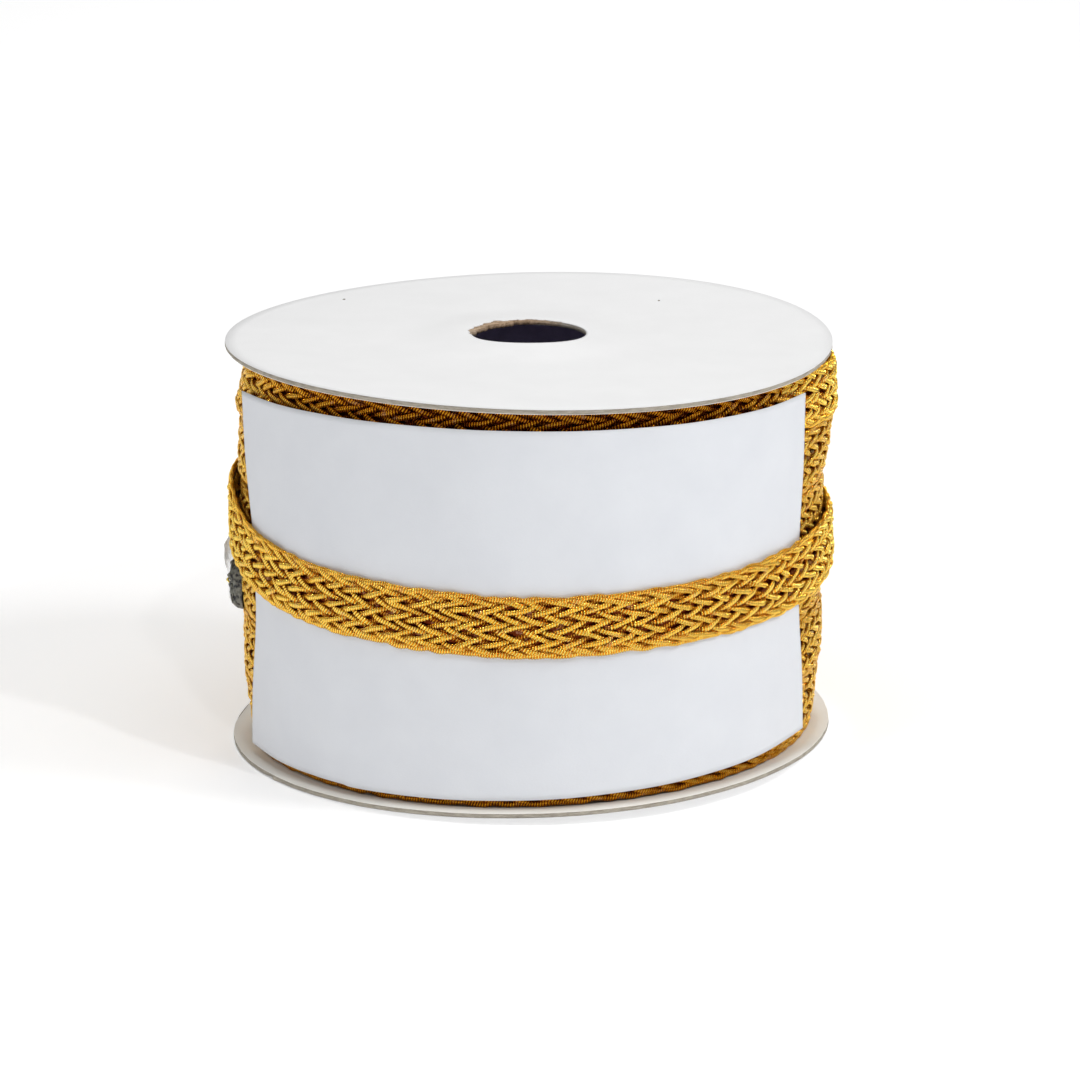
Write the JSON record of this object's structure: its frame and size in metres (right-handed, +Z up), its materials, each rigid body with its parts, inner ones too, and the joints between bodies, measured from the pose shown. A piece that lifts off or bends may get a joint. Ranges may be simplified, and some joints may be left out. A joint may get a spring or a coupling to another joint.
{
  "type": "ribbon spool",
  "caption": "Round cardboard spool wound with flat gold braid, closed by a paper label and the last turn of braid taped at its end.",
  "frame": {"origin": "centre of the bottom flange's outer face, on the spool's axis", "axes": "+Z up along the spool's axis, -Y through the front, where the label is, +X to the right seen from the front"},
  "size_m": [0.095, 0.095, 0.0635],
  "materials": {
    "core_inner": "matte",
    "core_outer": "matte",
    "flange_liner": "matte",
    "flange_inner_liner": "matte",
    "grey_board": "matte",
    "glue": "satin",
    "start_tape": "matte",
    "braid_core": "satin",
    "gold_braid": "gloss",
    "label_paper": "satin",
    "frayed_end": "matte",
    "clear_tape": "satin"
  },
  "bodies": {
    "root": {"core_inner_ply": "core_inner", "core_outer_ply": "core_outer", "bottom_outer_liner": "flange_liner", "bottom_flange_board": "grey_board", "bottom_inner_liner": "flange_inner_liner", "bottom_glue_fillet": "glue", "top_inner_liner": "flange_inner_liner", "top_flange_board": "grey_board", "top_outer_liner": "flange_liner", "top_glue_fillet": "glue", "start_tape": "start_tape", "inner_winding": "braid_core", "outer_turn_1": "gold_braid", "outer_turn_2": "gold_braid", "outer_turn_3": "gold_braid", "outer_turn_4": "gold_braid", "outer_turn_5": "gold_braid", "outer_turn_6": "gold_braid", "label": "label_paper", "retaining_wrap": "gold_braid", "braid_cut_end": "frayed_end", "end_tape": "clear_tape"}
  },
  "joints": []
}
